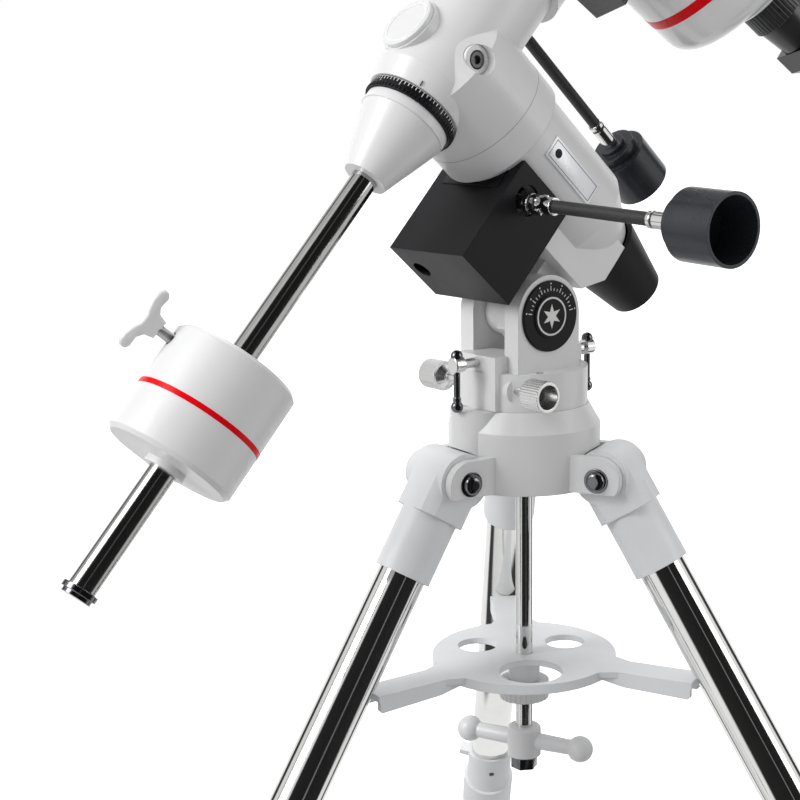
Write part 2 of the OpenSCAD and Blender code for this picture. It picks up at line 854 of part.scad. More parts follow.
tripod_hub();
hinge_bolts();
leg_bracket(0);  // leg_bracket_1
leg_bracket(1);  // leg_bracket_2
leg_bracket(2);  // leg_bracket_3
leg_tube(0);  // leg_tube_1
leg_tube(1);  // leg_tube_2
leg_tube(2);  // leg_tube_3
leg_clamp(0);  // leg_clamp_1
leg_clamp(1);  // leg_clamp_2
leg_clamp(2);  // leg_clamp_3
leg_lock(0);  // leg_lock_1
leg_lock(1);  // leg_lock_2
leg_lock(2);  // leg_lock_3
lower_leg(0);  // lower_leg_1
lower_leg(1);  // lower_leg_2
lower_leg(2);  // lower_leg_3
rubber_foot(0);  // rubber_foot_1
rubber_foot(1);  // rubber_foot_2
rubber_foot(2);  // rubber_foot_3
spreader_tray();
tray_knob();
centre_rod();
rod_handle();
azimuth_base();
latitude_pin();
azimuth_knob(1, knob_out_east);  // azimuth_knob_east
azimuth_knob(-1, knob_out_west);  // azimuth_knob_west
latitude_bolt(1);  // latitude_bolt_north
latitude_bolt(-1);  // latitude_bolt_south
polar_housing();
drive_box();
polar_rear_cap();
polar_control_shaft();
polar_knob();
head_casting();
polar_front_cap();
polar_axle();
declination_circle();
shaft_nose();
counterweight_shaft();
shaft_end_cap();
counterweight();
wing_bolt();
declination_control_shaft();
declination_knob();
declination_axle();
saddle();
saddle_screw();
dovetail_bar();
telescope_tube();
front_cell();
corrector_lens();
primary_mirror();
rear_cell();
visual_back();
star_diagonal();
eyepiece();
focus_knob();
finder();
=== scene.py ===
import json
import math
import bmesh
import bpy
from mathutils import Matrix, Vector


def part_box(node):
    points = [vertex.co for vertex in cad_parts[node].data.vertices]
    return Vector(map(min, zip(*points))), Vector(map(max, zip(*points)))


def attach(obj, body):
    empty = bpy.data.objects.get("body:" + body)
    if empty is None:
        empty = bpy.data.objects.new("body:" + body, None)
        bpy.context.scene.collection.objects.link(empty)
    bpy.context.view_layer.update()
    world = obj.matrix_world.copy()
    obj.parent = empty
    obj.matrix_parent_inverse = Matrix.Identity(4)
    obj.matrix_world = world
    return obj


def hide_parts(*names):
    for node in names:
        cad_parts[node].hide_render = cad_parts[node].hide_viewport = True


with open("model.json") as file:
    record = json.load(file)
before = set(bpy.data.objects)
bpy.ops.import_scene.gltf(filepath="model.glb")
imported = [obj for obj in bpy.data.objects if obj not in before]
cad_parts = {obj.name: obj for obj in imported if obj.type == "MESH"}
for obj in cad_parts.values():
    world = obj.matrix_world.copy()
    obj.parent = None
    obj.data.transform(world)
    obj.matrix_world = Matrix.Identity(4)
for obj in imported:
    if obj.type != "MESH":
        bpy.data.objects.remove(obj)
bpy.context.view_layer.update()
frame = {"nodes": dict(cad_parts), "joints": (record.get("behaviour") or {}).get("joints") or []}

nodes = frame["nodes"]
joints = {joint["name"]: joint for joint in frame["joints"]}
print("frame loaded:", len(nodes), "nodes")


# shared shader groups

def addSocket(tree, name, kind, way, start=None):
    socket = tree.interface.new_socket(name=name, in_out=way, socket_type=kind)
    if start is not None:
        socket.default_value = start
    return socket


def makeFineSurface():  # grain bump, soft edges, slow variation and worn edges
    tree = bpy.data.node_groups.new("fineSurface", "ShaderNodeTree")
    addSocket(tree, "Grain Scale", "NodeSocketFloat", "INPUT", 900.0)
    addSocket(tree, "Grain Depth", "NodeSocketFloat", "INPUT", 0.1)
    addSocket(tree, "Variation Scale", "NodeSocketFloat", "INPUT", 14.0)
    addSocket(tree, "Normal", "NodeSocketVector", "OUTPUT")
    addSocket(tree, "Variation", "NodeSocketFloat", "OUTPUT")
    addSocket(tree, "Wear", "NodeSocketFloat", "OUTPUT")
    make, link = tree.nodes.new, tree.links.new
    inputs, outputs = make("NodeGroupInput"), make("NodeGroupOutput")
    coords = make("ShaderNodeTexCoord")
    grain = make("ShaderNodeTexNoise")
    grain.inputs["Detail"].default_value = 2
    slow = make("ShaderNodeTexNoise")
    slow.inputs["Detail"].default_value = 5
    slow.inputs["Roughness"].default_value = 0.6
    soft = make("ShaderNodeBevel")
    soft.samples = 4
    soft.inputs["Radius"].default_value = 0.0009
    bump = make("ShaderNodeBump")
    bump.inputs["Distance"].default_value = 0.0004
    geometry = make("ShaderNodeNewGeometry")
    facing = make("ShaderNodeVectorMath")
    facing.operation = "DOT_PRODUCT"
    edge = make("ShaderNodeMapRange")
    edge.inputs["From Min"].default_value = 0.985
    edge.inputs["From Max"].default_value = 0.8
    worn = make("ShaderNodeMath")
    worn.operation = "MULTIPLY"
    spread = make("ShaderNodeMapRange")
    spread.inputs["From Min"].default_value = 0.3
    spread.inputs["From Max"].default_value = 0.7
    link(coords.outputs["Object"], grain.inputs["Vector"])
    link(coords.outputs["Object"], slow.inputs["Vector"])
    link(inputs.outputs["Grain Scale"], grain.inputs["Scale"])
    link(inputs.outputs["Variation Scale"], slow.inputs["Scale"])
    link(inputs.outputs["Grain Depth"], bump.inputs["Strength"])
    link(grain.outputs["Fac"], bump.inputs["Height"])
    link(soft.outputs["Normal"], bump.inputs["Normal"])
    link(soft.outputs["Normal"], facing.inputs[0])
    link(geometry.outputs["Normal"], facing.inputs[1])
    link(facing.outputs["Value"], edge.inputs["Value"])
    link(slow.outputs["Fac"], spread.inputs["Value"])
    link(edge.outputs["Result"], worn.inputs[0])
    link(spread.outputs["Result"], worn.inputs[1])
    link(bump.outputs["Normal"], outputs.inputs["Normal"])
    link(spread.outputs["Result"], outputs.inputs["Variation"])
    link(worn.outputs["Value"], outputs.inputs["Wear"])
    return tree


fineSurface = makeFineSurface()


def makeFinish(name, look):  # one Principled finish fed by the shared surface group
    material = bpy.data.materials.new(name)
    material.use_nodes = True
    tree = material.node_tree
    make, link = tree.nodes.new, tree.links.new
    shader = tree.nodes["Principled BSDF"]
    surface = make("ShaderNodeGroup")
    surface.node_tree = fineSurface
    surface.inputs["Grain Scale"].default_value = look["grainScale"]
    surface.inputs["Grain Depth"].default_value = look["grainDepth"]
    surface.inputs["Variation Scale"].default_value = look["variationScale"]
    patches = make("ShaderNodeMix")  # slow change of shade over the surface
    patches.data_type = "RGBA"
    patches.inputs["A"].default_value = (*look["colour"], 1)
    patches.inputs["B"].default_value = (*look["colourFar"], 1)
    edges = make("ShaderNodeMix")  # paler or barer along the edges
    edges.data_type = "RGBA"
    edges.inputs["B"].default_value = (*look["colourEdge"], 1)
    rough = make("ShaderNodeMapRange")
    rough.inputs["To Min"].default_value = look["rough"][0]
    rough.inputs["To Max"].default_value = look["rough"][1]
    link(surface.outputs["Variation"], patches.inputs["Factor"])
    link(patches.outputs["Result"], edges.inputs["A"])
    link(surface.outputs["Wear"], edges.inputs["Factor"])
    link(surface.outputs["Variation"], rough.inputs["Value"])
    link(edges.outputs["Result"], shader.inputs["Base Color"])
    link(rough.outputs["Result"], shader.inputs["Roughness"])
    link(surface.outputs["Normal"], shader.inputs["Normal"])
    shader.inputs["Metallic"].default_value = look.get("metallic", 0)
    shader.inputs["Specular IOR Level"].default_value = look.get("specular", 0.5)
    shader.inputs["Coat Weight"].default_value = look.get("coat", 0)
    shader.inputs["Coat Roughness"].default_value = look.get("coatRough", 0.1)
    return material


def makeLensGlass():
    glass = {"tint": (0.93, 0.97, 0.96), "ior": 1.52}
    material = bpy.data.materials.new("lensGlass")
    material.use_nodes = True
    tree = material.node_tree
    shader = tree.nodes["Principled BSDF"]
    dust = tree.nodes.new("ShaderNodeTexNoise")
    coords = tree.nodes.new("ShaderNodeTexCoord")
    spread = tree.nodes.new("ShaderNodeMapRange")
    dust.inputs["Scale"].default_value = 60
    spread.inputs["To Min"].default_value = 0.01
    spread.inputs["To Max"].default_value = 0.05
    tree.links.new(coords.outputs["Object"], dust.inputs["Vector"])
    tree.links.new(dust.outputs["Fac"], spread.inputs["Value"])
    tree.links.new(spread.outputs["Result"], shader.inputs["Roughness"])
    shader.inputs["Base Color"].default_value = (*glass["tint"], 1)
    shader.inputs["IOR"].default_value = glass["ior"]
    shader.inputs["Transmission Weight"].default_value = 1
    return material


finishes = {
    "castPaint": {"colour": (0.78, 0.78, 0.78), "colourFar": (0.74, 0.74, 0.745),
                  "colourEdge": (0.82, 0.82, 0.82),
                  "rough": (0.30, 0.40), "grainScale": 1400, "grainDepth": 0.10, "variationScale": 16,
                  "coat": 0.15},
    "glossWhite": {"colour": (0.82, 0.82, 0.82), "colourFar": (0.79, 0.79, 0.79),
                   "colourEdge": (0.86, 0.86, 0.86),
                   "rough": (0.16, 0.24), "grainScale": 700, "grainDepth": 0.04, "variationScale": 10,
                   "coat": 0.4},
    "bracketPlastic": {"colour": (0.80, 0.81, 0.82), "colourFar": (0.75, 0.76, 0.775),
                       "colourEdge": (0.82, 0.82, 0.82),
                       "rough": (0.34, 0.46), "grainScale": 2200, "grainDepth": 0.16, "variationScale": 20},
    "mirrorSteel": {"colour": (0.80, 0.80, 0.79), "colourFar": (0.74, 0.74, 0.73),
                    "colourEdge": (0.88, 0.88, 0.87),
                    "rough": (0.035, 0.09), "grainScale": 420, "grainDepth": 0.012, "variationScale": 30,
                    "metallic": 1},
    "shaftSteel": {"colour": (0.50, 0.50, 0.49), "colourFar": (0.40, 0.40, 0.39),
                   "colourEdge": (0.7, 0.7, 0.7),
                   "rough": (0.07, 0.14), "grainScale": 500, "grainDepth": 0.02, "variationScale": 30,
                   "metallic": 1},
    "knurledAlloy": {"colour": (0.84, 0.84, 0.83), "colourFar": (0.76, 0.76, 0.76),
                     "colourEdge": (0.92, 0.92, 0.92),
                     "rough": (0.20, 0.26), "grainScale": 1800, "grainDepth": 0.03, "variationScale": 14,
                     "metallic": 1},
    "darkChrome": {"colour": (0.20, 0.20, 0.21), "colourFar": (0.14, 0.14, 0.15),
                   "colourEdge": (0.55, 0.55, 0.56),
                   "rough": (0.08, 0.20), "grainScale": 900, "grainDepth": 0.05, "variationScale": 60,
                   "metallic": 1},
    "satinBlack": {"colour": (0.006, 0.006, 0.007), "colourFar": (0.010, 0.010, 0.012),
                   "colourEdge": (0.05, 0.05, 0.055),
                   "rough": (0.36, 0.46), "grainScale": 1500, "grainDepth": 0.12, "variationScale": 18,
                   "specular": 0.16},
    "knobBlack": {"colour": (0.016, 0.017, 0.021), "colourFar": (0.024, 0.026, 0.032),
                  "colourEdge": (0.07, 0.07, 0.08),
                  "rough": (0.22, 0.32), "grainScale": 1200, "grainDepth": 0.08, "variationScale": 24,
                  "coat": 0.12,
                  "specular": 0.35},
    "blackMetal": {"colour": (0.018, 0.018, 0.019), "colourFar": (0.028, 0.028, 0.03),
                   "colourEdge": (0.12, 0.12, 0.12),
                   "rough": (0.26, 0.38), "grainScale": 1600, "grainDepth": 0.10, "variationScale": 30,
                   "coat": 0.2},
    "sleeveRubber": {"colour": (0.012, 0.012, 0.012), "colourFar": (0.02, 0.02, 0.02),
                     "colourEdge": (0.04, 0.04, 0.04),
                     "rough": (0.42, 0.58), "grainScale": 2400, "grainDepth": 0.25, "variationScale": 40},
    "mirrorCoat": {"colour": (0.93, 0.93, 0.94), "colourFar": (0.90, 0.90, 0.92),
                   "colourEdge": (0.95, 0.95, 0.95),
                   "rough": (0.01, 0.03), "grainScale": 300, "grainDepth": 0.0, "variationScale": 12,
                   "metallic": 1},
    "redStripe": {"colour": (0.80, 0.0, 0.006), "colourFar": (0.74, 0.0, 0.005),
                  "colourEdge": (0.7, 0.02, 0.02),
                  "rough": (0.20, 0.30), "grainScale": 900, "grainDepth": 0.05, "variationScale": 20,
                  "specular": 0.15},
    "darkLine": {"colour": (0.30, 0.30, 0.30), "colourFar": (0.24, 0.24, 0.24), "colourEdge": (0.3, 0.3, 0.3),
                 "rough": (0.5, 0.6), "grainScale": 900, "grainDepth": 0.0, "variationScale": 40},
    "printWhite": {"colour": (0.80, 0.80, 0.78), "colourFar": (0.72, 0.72, 0.70),
                   "colourEdge": (0.82, 0.82, 0.80),
                   "rough": (0.40, 0.52), "grainScale": 1800, "grainDepth": 0.1, "variationScale": 60},
    "plateSilver": {"colour": (0.90, 0.90, 0.92), "colourFar": (0.84, 0.85, 0.88),
                    "colourEdge": (0.9, 0.9, 0.9),
                    "rough": (0.24, 0.34), "grainScale": 1300, "grainDepth": 0.06, "variationScale": 50,
                    "metallic": 0.15},
}
finish = {name: makeFinish(name, look) for name, look in finishes.items()}
finish["lensGlass"] = makeLensGlass()
print("finishes made:", len(finish))


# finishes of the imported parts

partFinish = {
    "castPaint": ["tripod_hub", "azimuth_base", "polar_housing", "head_casting", "polar_front_cap",
                  "shaft_nose",
                  "counterweight", "wing_bolt", "tray_knob", "rod_handle"],
    "glossWhite": ["telescope_tube", "front_cell", "rear_cell", "finder"],
    "bracketPlastic": ["leg_bracket_1", "leg_bracket_2", "leg_bracket_3", "leg_clamp_1", "leg_clamp_2",
                       "leg_clamp_3",
                       "leg_lock_1", "leg_lock_2", "leg_lock_3", "spreader_tray"],
    "mirrorSteel": ["leg_tube_1", "leg_tube_2", "leg_tube_3", "lower_leg_1", "lower_leg_2", "lower_leg_3",
                    "centre_rod", "latitude_bolt_north", "latitude_bolt_south", "polar_axle",
                    "declination_axle"],
    "shaftSteel": ["counterweight_shaft"],
    "knurledAlloy": ["azimuth_knob_east", "azimuth_knob_west"],
    "darkChrome": ["shaft_end_cap", "hinge_bolts"],
    "satinBlack": ["drive_box", "polar_rear_cap", "focus_knob", "eyepiece", "latitude_pin",
                   "declination_circle"],
    "knobBlack": ["polar_knob", "declination_knob", "saddle_screw"],
    "blackMetal": ["saddle", "dovetail_bar", "visual_back", "star_diagonal"],
    "sleeveRubber": ["rubber_foot_1", "rubber_foot_2", "rubber_foot_3", "polar_control_shaft",
                     "declination_control_shaft"],
    "mirrorCoat": ["primary_mirror"],
    "lensGlass": ["corrector_lens"],
}
for finishName, parts in partFinish.items():
    for part in parts:
        mesh = nodes[part].data
        for index in range(len(mesh.materials)):
            mesh.materials[index] = finish[finishName]
        if not mesh.materials:
            mesh.materials.append(finish[finishName])
print("packed parts painted")


# the room and the camera

studio = {"floorSize": 30, "floorShade": (0.90, 0.90, 0.90), "floorGlow": 0.18, "floorNear": 0.5,
          "floorFar": 1.3, "floorBounce": (0.42, 0.42, 0.43), "fillLow": 0.20, "fillHigh": 0.74, "aim": 0.85,
          "cameraTurn": 48.617, "cameraReach": 1.253556, "cameraHeight": 1.051766, "cameraPitch": 9.872,
          "lens": 71.31, "shift": (-0.15527, -0.03995)}


# places taken from the joints

def turned(degrees, axis):
    return Matrix.Rotation(math.radians(degrees), 4, axis)


def moved(x, y, z):
    return Matrix.Translation((x, y, z))


def alongJoint(name, up=(1, 0, 0)):  # z runs along the joint's axis, x stays near the given direction
    axis = Vector(joints[name]["axis"]).normalized()
    side = (Vector(up) - axis * axis.dot(Vector(up))).normalized()
    place = Matrix((side, axis.cross(side), axis)).transposed().to_4x4()
    place.translation = Vector(joints[name]["pos_m"])
    return place


polarPlace = alongJoint("polar_axis_turn")          # origin where the two axes cross, z to the pole
polarPlace.translation = Vector(joints["declination_turn"]["pos_m"])
scopeJoint = alongJoint("declination_turn")          # z toward the telescope
weightPlace = scopeJoint @ turned(180, "X")          # z toward the counterweight


def cameraWay():  # from the mount toward the camera
    turn = math.radians(studio["cameraTurn"])
    return Vector((math.sin(turn), -math.cos(turn), 0.15)).normalized()


# ways to make a piece

def finishPiece(bm, name, place, finishName, body, smooth=35):
    bmesh.ops.remove_doubles(bm, verts=bm.verts, dist=0.000002)
    bmesh.ops.recalc_face_normals(bm, faces=bm.faces)
    bmesh.ops.transform(bm, matrix=place, verts=bm.verts)
    mesh = bpy.data.meshes.new(name)
    bm.to_mesh(mesh)
    bm.free()
    for polygon in mesh.polygons:
        polygon.use_smooth = True
    mesh.set_sharp_from_angle(angle=math.radians(smooth))
    mesh.materials.append(finish[finishName])
    piece = bpy.data.objects.new(name, mesh)
    bpy.context.scene.collection.objects.link(piece)
    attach(piece, body)
    return piece


def spinProfile(bm, profile, steps=96):  # closed outline of (radius, height) turned round z
    verts = [bm.verts.new((radius, 0, height)) for radius, height in profile]
    edges = [bm.edges.new((verts[i], verts[(i + 1) % len(verts)])) for i in range(len(verts))]
    bmesh.ops.spin(bm, geom=verts + edges, cent=(0, 0, 0), axis=(0, 0, 1), angle=math.tau, steps=steps,
                   use_merge=True)


def addBand(bm, inner, outer, low, high, edge=0.0002, steps=96):  # a ring with eased corners
    spinProfile(bm, [(inner, low), (outer - edge, low), (outer, low + edge), (outer, high - edge),
                     (outer - edge, high), (inner, high)], steps)


def addBlock(bm, size, place, edge=0.0):
    made = bmesh.ops.create_cube(bm, size=1, matrix=place @ Matrix.Diagonal((*size, 1)))
    if edge:
        edges = {e for v in made["verts"] for e in v.link_edges}
        bmesh.ops.bevel(bm, geom=list(edges), offset=edge, offset_type="OFFSET", affect="EDGES", segments=2,
                        profile=0.5, material=-1)


def addDisc(bm, radius, low, high, edge=0.0003, segments=48):  # a short closed cylinder along z
    made = bmesh.ops.create_cone(bm, cap_ends=True, segments=segments, radius1=radius, radius2=radius,
                                 depth=high - low, matrix=moved(0, 0, (low + high) / 2))
    if edge:
        rims = [e for e in {e for v in made["verts"] for e in v.link_edges}
                if abs(e.verts[0].co.z - e.verts[1].co.z) < 1e-7]
        bmesh.ops.bevel(bm, geom=rims, offset=edge, offset_type="OFFSET", affect="EDGES", segments=2,
                        profile=0.5, material=-1)


# declination circle ticks

circle = {"radius": 0.036, "ticks": 72, "longEvery": 6, "tickWidth": 0.0007, "tickDepth": 0.00016,
          "shortTick": 0.0024, "longTick": 0.0042, "lowEdge": 0.0430,
          "knurlAt": 0.0494, "knurl": (0.0012, 0.0017, 0.0026)}


def makeCircleTicks():
    bm = bmesh.new()
    for i in range(circle["ticks"]):
        tall = circle["longTick"] if i % circle["longEvery"] == 0 else circle["shortTick"]
        place = turned(i * 360 / circle["ticks"], "Z") @ moved(circle["radius"], 0,
                                                               circle["lowEdge"] + tall / 2)
        addBlock(bm, (circle["tickDepth"] * 2, circle["tickWidth"], tall), place)
    addBand(bm, circle["radius"] - 0.0003, circle["radius"] + 0.00012, circle["lowEdge"] - 0.0004,
            circle["lowEdge"], 0.00005)
    finishPiece(bm, "declinationTicks", weightPlace, "printWhite", "declination_circle")


def makeCircleKnurl():  # small raised knurls on the rim, away from the ticks
    bm = bmesh.new()
    for i in range(circle["ticks"]):
        place = turned((i + 0.5) * 360 / circle["ticks"], "Z") @ moved(circle["radius"], 0, circle["knurlAt"])
        addBlock(bm, circle["knurl"], place, 0.0002)
    finishPiece(bm, "declinationKnurl", weightPlace, "satinBlack", "declination_circle")


makeCircleTicks()
makeCircleKnurl()


# latitude plates on both cheeks

plate = {"face": 0.0370, "boss": 0.0382, "ringIn": 0.0137, "ringOut": 0.0152, "ticks": 19, "tickFrom": 0.0198,
         "shortTick": 0.0022, "longTick": 0.0038, "tickWidth": 0.0008, "raised": 0.00015, "starOut": 0.0098,
         "starIn": 0.0042}


def makeLatitudeMarks(side, name):
    place = moved(*joints["latitude_tilt"]["pos_m"]) @ turned(90 * side, "Y")
    bm = bmesh.new()
    for i in range(plate["ticks"]):
        tall = plate["longTick"] if i % 3 == 0 else plate["shortTick"]
        angle = 90 + (i - (plate["ticks"] - 1) / 2) * 9
        spot = turned(angle + 90 * side, "Z")
        addBlock(bm, (tall, plate["tickWidth"], plate["raised"] * 2),
                 spot @ moved(plate["tickFrom"] + tall / 2, 0, plate["face"]))
        if i % 3 == 0:  # a round dot outside every third tick
            dot = spot @ moved(plate["tickFrom"] + 0.0058, 0, plate["face"])
            bmesh.ops.create_cone(bm, cap_ends=True, segments=16, radius1=0.0007, radius2=0.0007,
                                  depth=plate["raised"] * 2, matrix=dot)
    addBand(bm, plate["ringIn"], plate["ringOut"], plate["boss"] - 0.0002, plate["boss"] + plate["raised"],
            0.00005)
    points = []
    for i in range(12):  # a plain six-pointed compass star
        radius = plate["starOut"] if i % 2 == 0 else plate["starIn"]
        angle = math.radians(i * 30)
        points.append(bm.verts.new((radius * math.cos(angle), radius * math.sin(angle),
                                    plate["boss"] - 0.0002)))
    star = bm.faces.new(points)
    raisedStar = bmesh.ops.extrude_face_region(bm, geom=[star])
    lifted = [v for v in raisedStar["geom"] if isinstance(v, bmesh.types.BMVert)]
    bmesh.ops.translate(bm, verts=lifted, vec=(0, 0, 0.0002 + plate["raised"]))
    finishPiece(bm, name, place, "printWhite", "azimuth")


makeLatitudeMarks(1, "latitudeMarksEast")
makeLatitudeMarks(-1, "latitudeMarksWest")
print("scales made")


# coloured bands on the weight and the telescope

bands = {"weightRadius": 0.048, "weightFrom": 0.3205, "weightTo": 0.3245, "tubeRadius": 0.080,
         "tubeFrom": -0.1365,
         "tubeTo": -0.1280, "thickness": 0.0002}


def makeWeightBand():
    bm = bmesh.new()
    addBand(bm, bands["weightRadius"] - 0.001, bands["weightRadius"] + bands["thickness"],
            bands["weightFrom"],
            bands["weightTo"], 0.0001, 160)
    finishPiece(bm, "weightStripe", weightPlace, "redStripe", "counterweight")


def boxCentre(name):
    low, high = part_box(name)
    return (Vector(low) + Vector(high)) / 2


def makeTubePlace():  # z toward the sky end, origin abreast of the crossing
    crossing = Vector(joints["declination_turn"]["pos_m"])
    toTube = Vector(joints["declination_turn"]["axis"]).normalized()
    offset = (boxCentre("telescope_tube") - crossing).dot(toTube)
    axis = -Vector(joints["focus_knob_turn"]["axis"]).normalized()
    side = toTube.cross(axis).normalized()
    place = Matrix((side, axis.cross(side), axis)).transposed().to_4x4()
    place.translation = crossing + toTube * offset
    return place


tubePlace = makeTubePlace()


def makeTubeBand():
    bm = bmesh.new()
    addBand(bm, bands["tubeRadius"] - 0.001, bands["tubeRadius"] + bands["thickness"], bands["tubeFrom"],
            bands["tubeTo"], 0.0001, 192)
    finishPiece(bm, "rearCellStripe", tubePlace, "redStripe", "telescope")


makeWeightBand()
makeTubeBand()
print("bands made")


# chrome fittings on the two control shafts

fitting = {"jointBall": 0.0073, "collar": 0.0079, "neck": 0.0067, "ferrule": 0.0064}


def makeShaftFittings(jointName, body, length, name):
    place = alongJoint(jointName)
    bm = bmesh.new()
    outline = [(0.0050, 0.0480), (fitting["collar"] - 0.0006, 0.0480), (fitting["collar"], 0.0486),
               (fitting["collar"], 0.0530), (fitting["collar"] - 0.0008, 0.0536),
               (fitting["collar"] - 0.0008, 0.0556),
               (fitting["collar"], 0.0562), (fitting["jointBall"], 0.0615),
               (fitting["jointBall"] - 0.0002, 0.0640),
               (fitting["neck"] - 0.0003, 0.0670), (fitting["neck"], 0.0680), (fitting["neck"], 0.0776),
               (fitting["neck"] - 0.0005, 0.0782), (0.0050, 0.0782)]
    spinProfile(bm, outline, 64)
    low = length - 0.0262
    outline = [(0.0048, low), (fitting["ferrule"] - 0.0008, low), (fitting["ferrule"], low + 0.0010),
               (fitting["ferrule"], low + 0.0040), (fitting["ferrule"] - 0.0005, low + 0.0046),
               (fitting["ferrule"] - 0.0005, low + 0.0062), (fitting["ferrule"], low + 0.0068),
               (fitting["ferrule"], length - 0.0004), (0.0048, length - 0.0004)]
    spinProfile(bm, outline, 64)
    for turn in (0, 180):  # fork arms and pins of the universal joint
        addBlock(bm, (0.0020, 0.0058, 0.0120), turned(turn, "Z") @ moved(0.0068, 0, 0.0600), 0.0005)
        pin = turned(turn + 90, "Z") @ moved(0, 0, 0.0610) @ turned(90, "Y")
        bmesh.ops.create_cone(bm, cap_ends=True, segments=20, radius1=0.0018, radius2=0.0018, depth=0.0154,
                              matrix=pin)
    finishPiece(bm, name, place, "mirrorSteel", body)


makeShaftFittings("polar_control_turn", "polar_control", 0.204, "polarShaftFittings")
makeShaftFittings("declination_control_turn", "declination_control", 0.212, "declinationShaftFittings")
print("shaft fittings made")


# small screws and washers

headScrew = {"insert": 0.0109, "hole": 0.0070, "screw": 0.0066, "deep": 0.0302, "face": 0.0440,
             "head": 0.0438}


def makeHeadScrew():  # the socket screw in its bush, in the flat beside the front cap
    place = polarPlace @ moved(0, 0, 0.005) @ turned(90, "Y")
    bm = bmesh.new()
    addBand(bm, headScrew["hole"], headScrew["insert"], headScrew["deep"], headScrew["face"], 0.0006, 64)
    finishPiece(bm, "headClampBush", place, "castPaint", "head")
    bm = bmesh.new()
    spinProfile(bm, [(0.0, headScrew["deep"]), (headScrew["screw"], headScrew["deep"]),
                     (headScrew["screw"], headScrew["head"] - 0.0008),
                     (headScrew["screw"] - 0.0008, headScrew["head"]),
                     (0.0032, headScrew["head"]), (0.0030, headScrew["head"] - 0.0030),
                     (0.0, headScrew["head"] - 0.0034)], 6 * 8)
    finishPiece(bm, "headClampScrew", place, "blackMetal", "head")


frontCap = {"inset": 0.0172, "rim": 0.0192, "face": 0.0460, "lift": 0.0002}


def makeFrontCapInset():  # dished face and fine groove of the polar axis cap
    bm = bmesh.new()
    addBand(bm, frontCap["inset"], frontCap["rim"], frontCap["face"] - 0.001,
            frontCap["face"] + frontCap["lift"],
            0.0001, 96)
    finishPiece(bm, "frontCapRing", polarPlace, "plateSilver", "head")


headLine = {"radius": 0.0520, "along": -0.0500, "width": 0.0004, "indexAt": 0.0385,
            "indexHeight": 0.0396, "indexSize": (0.0016, 0.0006, 0.0040)}


def makeHeadLines():  # parting line of the head, and the fixed index of the circle
    bm = bmesh.new()
    addBand(bm, headLine["radius"] - 0.0004, headLine["radius"] + 0.00006, headLine["along"],
            headLine["along"] + headLine["width"], 0.00002, 128)
    finishPiece(bm, "headPartingLine", polarPlace, "darkLine", "head")
    bm = bmesh.new()
    turn = math.degrees(math.atan2(*reversed((weightPlace.inverted().to_3x3() @ cameraWay()).xy)))
    addBlock(bm, headLine["indexSize"], turned(turn, "Z") @ moved(headLine["indexAt"], 0,
                                                                  headLine["indexHeight"])
             @ turned(-20, "Y"))
    finishPiece(bm, "circleIndex", weightPlace, "satinBlack", "head")


def makeClampScrews():  # a small cross screw in the sleeve of each leg clamp
    screw = {"radius": 0.0026, "along": 0.452, "from": 0.0218, "to": 0.0231, "slot": 0.0006,
             "slotDeep": 0.0004}
    for k in (1, 2, 3):
        place = alongJoint(f"leg_fold_{k}", (0, 0, 1))
        down = Vector(joints[f"leg_extend_{k}"]["axis"]).normalized()
        across = place.to_3x3() @ Vector((0, 0, 1))
        out = across.cross(down).normalized()
        if out.z > 0:
            out = -out
        start = Vector(joints[f"leg_fold_{k}"]["pos_m"]) + down * screw["along"]
        face = Matrix((across, out.cross(across), out)).transposed().to_4x4()
        face.translation = start
        bm = bmesh.new()
        addDisc(bm, screw["radius"], screw["from"], screw["to"], 0.0004, 24)
        slot = screw["radius"] * 1.4
        addBlock(bm, (slot, screw["slot"], screw["slotDeep"]), moved(0, 0, screw["to"]))
        addBlock(bm, (screw["slot"], slot, screw["slotDeep"]), moved(0, 0, screw["to"]))
        finishPiece(bm, f"clampScrew{k}", face, "blackMetal", f"leg_{k}")


def makeHingeWashers():
    washer = {"inner": 0.0072, "outer": 0.0098, "thick": 0.0007, "earFace": 0.0324}
    bm = bmesh.new()
    for k in (1, 2, 3):
        joint = joints[f"leg_fold_{k}"]
        place = alongJoint(joint["name"], (0, 0, 1))
        for side in (0, 180):
            ring = bmesh.new()
            addBand(ring, washer["inner"], washer["outer"], washer["earFace"] - 0.0003,
                    washer["earFace"] + washer["thick"], 0.0002, 48)
            bmesh.ops.transform(ring, matrix=place @ turned(side, "X"), verts=ring.verts)
            shell = bpy.data.meshes.new("washer")
            ring.to_mesh(shell)
            ring.free()
            bm.from_mesh(shell)
            bpy.data.meshes.remove(shell)
    finishPiece(bm, "hingeWashers", Matrix.Identity(4), "darkChrome", "tripod")


def makeRodThread():  # fine rings that stay inside the bore of the knob and the tray
    thread = {"root": 0.0068, "crest": 0.00703, "pitch": 0.0016, "from": 0.5330, "to": 0.5635}
    turns = int((thread["to"] - thread["from"]) / thread["pitch"])
    outline = [(0.0060, thread["from"])]
    for i in range(turns):
        height = thread["from"] + i * thread["pitch"]
        outline += [(thread["root"], height + 0.0001), (thread["crest"], height + thread["pitch"] / 2)]
    outline.append((0.0060, thread["from"] + turns * thread["pitch"]))
    bm = bmesh.new()
    spinProfile(bm, outline, 48)
    finishPiece(bm, "rodThread", Matrix.Identity(4), "shaftSteel", "mount_rod", 20)


tommyBar = {"ball": 0.0048, "bar": 0.0026, "reach": 0.0200, "down": 0.0130, "out": 0.0695}


